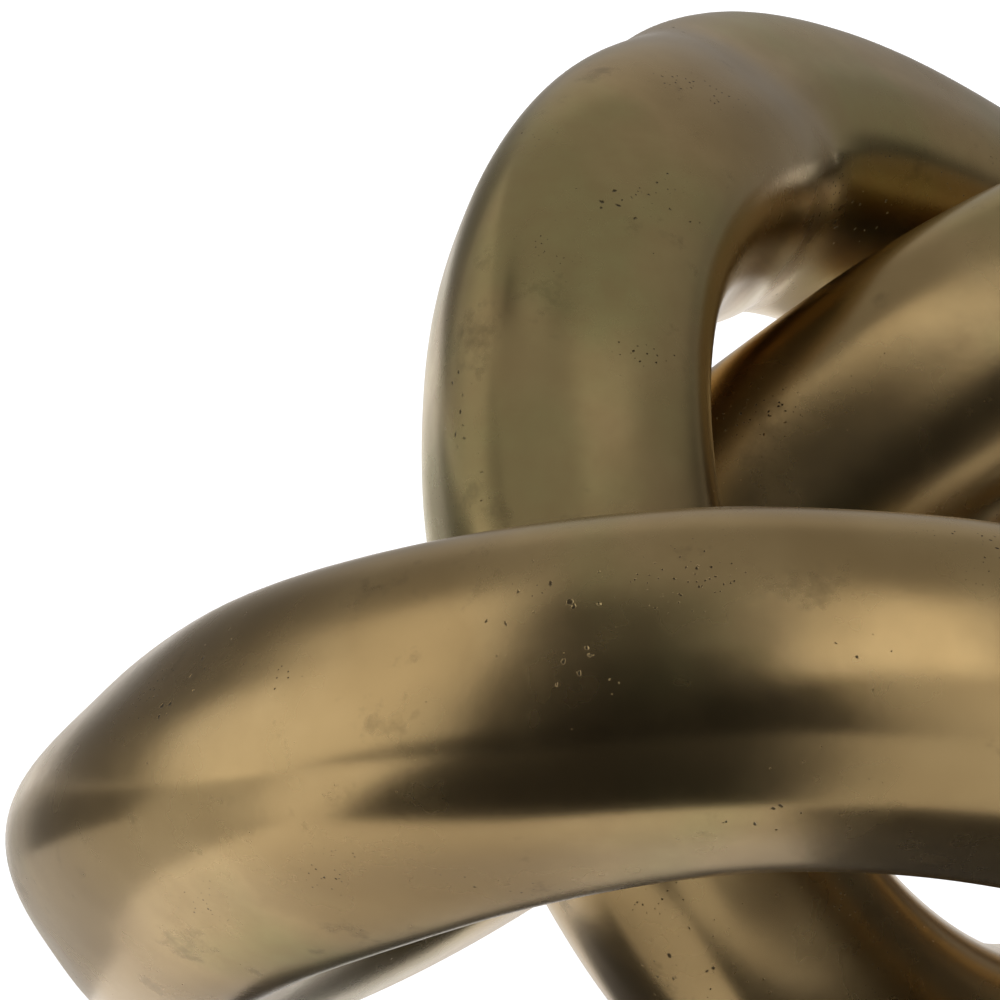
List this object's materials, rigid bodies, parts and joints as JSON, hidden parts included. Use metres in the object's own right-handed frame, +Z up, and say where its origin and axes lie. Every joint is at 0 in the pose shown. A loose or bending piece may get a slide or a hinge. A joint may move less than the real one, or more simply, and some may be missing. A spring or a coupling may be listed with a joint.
{
  "type": "linked ring puzzle",
  "caption": "Heavy cast wavy rings linked through each other, satin antique brass finish, standing on ground flats; the front ring swivels on the upright one.",
  "frame": {"origin": "on the surface it stands on, under the middle of the pair of rings", "axes": "+Z up, +X along the longest side of the pair, -Y the front, where the front ring lies across the upright ring"},
  "size_m": [0.2264, 0.2114, 0.139],
  "materials": {
    "front_ring_metal": "satin antique brass plating over a sand casting, pitted and lightly brushed",
    "upright_ring_metal": "satin antique brass plating over a sand casting, pitted and lightly brushed",
    "dowel_steel": "plain ground steel"
  },
  "bodies": {
    "upright_ring": {"upright_ring_upper_half": "upright_ring_metal", "upright_ring_lower_half": "upright_ring_metal", "upright_ring_dowel_1a": "dowel_steel", "upright_ring_dowel_1b": "dowel_steel", "upright_ring_dowel_2a": "dowel_steel", "upright_ring_dowel_2b": "dowel_steel"},
    "front_ring": {"front_ring_near_half": "front_ring_metal", "front_ring_far_half": "front_ring_metal", "front_ring_dowel_1a": "dowel_steel", "front_ring_dowel_1b": "dowel_steel", "front_ring_dowel_2a": "dowel_steel", "front_ring_dowel_2b": "dowel_steel"}
  },
  "joints": [
    {"name": "front_ring_swivel", "type": "hinge", "parent": "upright_ring", "child": "front_ring", "pos_m": [-0.033, -0.017, 0.05], "axis": [0, 0, -1], "range_deg": [-1, 89]}
  ]
}
